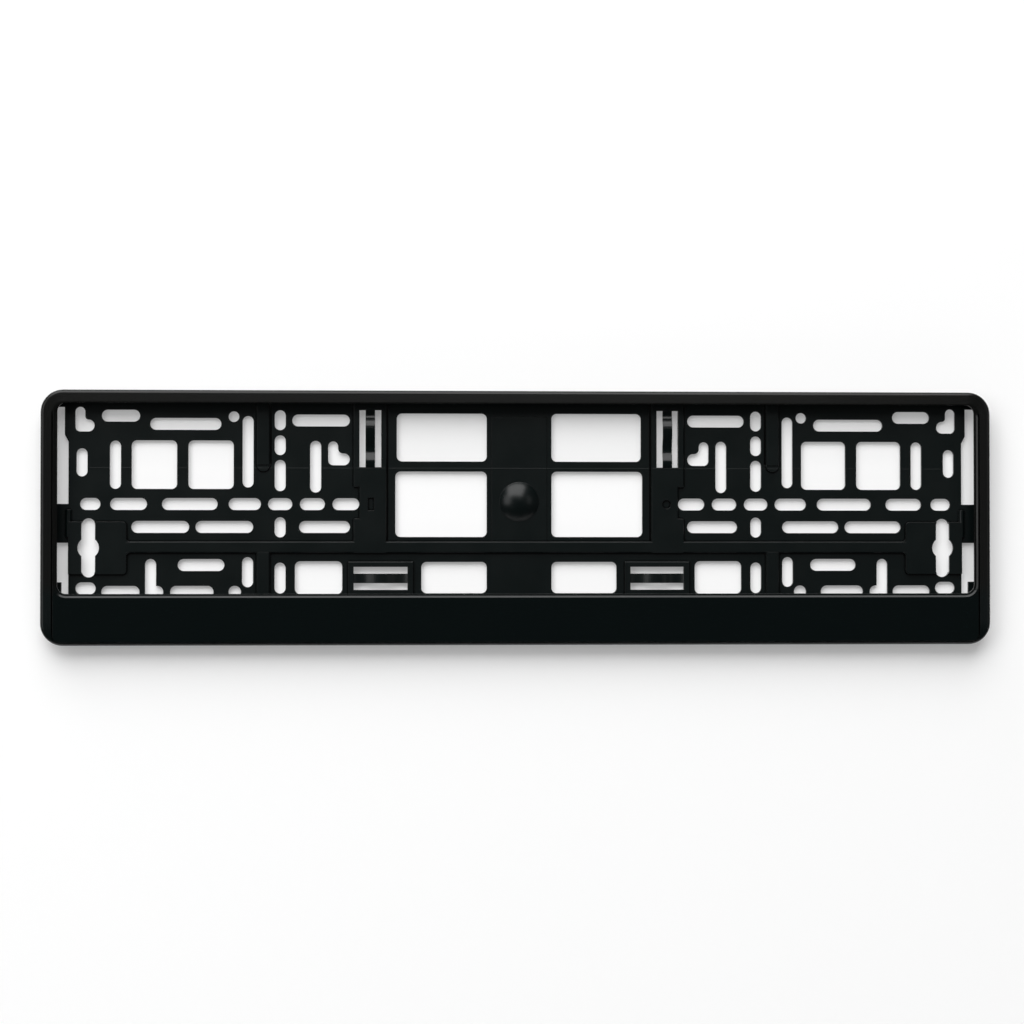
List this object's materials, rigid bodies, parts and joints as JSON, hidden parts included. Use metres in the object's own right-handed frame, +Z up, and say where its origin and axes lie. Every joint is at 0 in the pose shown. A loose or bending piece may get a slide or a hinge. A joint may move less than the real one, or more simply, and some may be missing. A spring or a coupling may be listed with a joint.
{
  "type": "number plate holder",
  "caption": "Black moulded plastic number plate holder with a rounded rim, a wide bottom strip and a panel of fixing slots, windows and leaf springs",
  "frame": {"origin": "On the back plane, in the middle of the centre row of fixing slots, halfway along the holder", "axes": "+X along the holder, to the right as seen from the front; +Z up; the front faces -Y and the back plane, which lies on the car, faces +Y"},
  "size_m": [0.532, 0.012, 0.1421],
  "materials": {
    "black_plastic": "satin moulded, near-black polypropylene"
  },
  "bodies": {
    "root": {"plate_holder": "black_plastic"}
  },
  "joints": []
}
